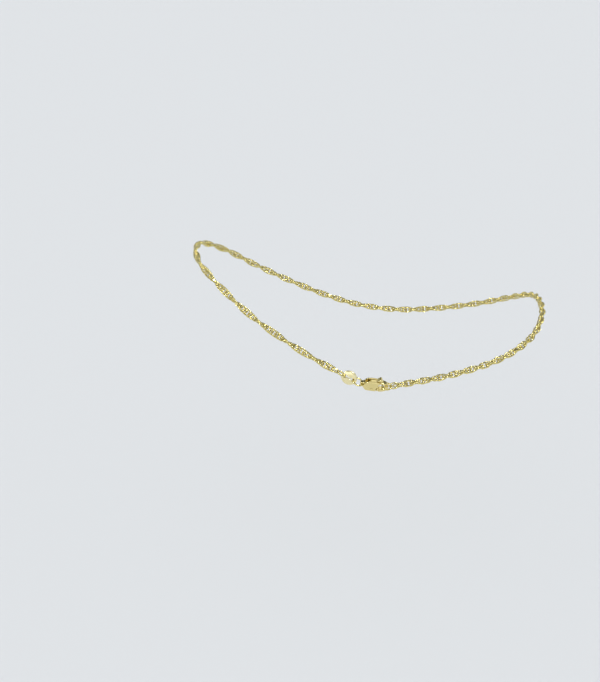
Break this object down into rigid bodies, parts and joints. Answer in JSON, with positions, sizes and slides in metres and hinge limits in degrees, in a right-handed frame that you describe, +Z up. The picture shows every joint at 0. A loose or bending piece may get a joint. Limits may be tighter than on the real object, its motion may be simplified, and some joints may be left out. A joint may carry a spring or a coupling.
{
  "type": "chain anklet",
  "caption": "Fine twisted curb-link ankle chain, fastened in a loop by a small trigger clasp, with a puffed oval tag beside the clasp.",
  "frame": {"origin": "middle of the loop on the leg's axis, where the ankle passes through", "axes": "+Z up the leg, -X to the instep and toes, +X to the heel, -Y to the side that carries the clasp and tag"},
  "size_m": [0.0929, 0.0545, 0.0306],
  "materials": {
    "gold": "polished yellow gold"
  },
  "bodies": {
    "anklet": {"chain": "gold", "tag_ring": "gold", "tag": "gold", "clasp_ring": "gold", "clasp_body": "gold", "clasp_pin": "gold", "chain_end_ring": "gold"},
    "lever": {"clasp_lever": "gold"}
  },
  "joints": [
    {"name": "lever_hinge", "type": "hinge", "parent": "anklet", "child": "lever", "pos_m": [-0.00055, -0.02574, -0.0112], "axis": [-0.0477, -0.921, -0.3865], "range_deg": [0, 38], "stiffness_Nm_per_rad": 0.005, "springref_deg": -5.73}
  ]
}
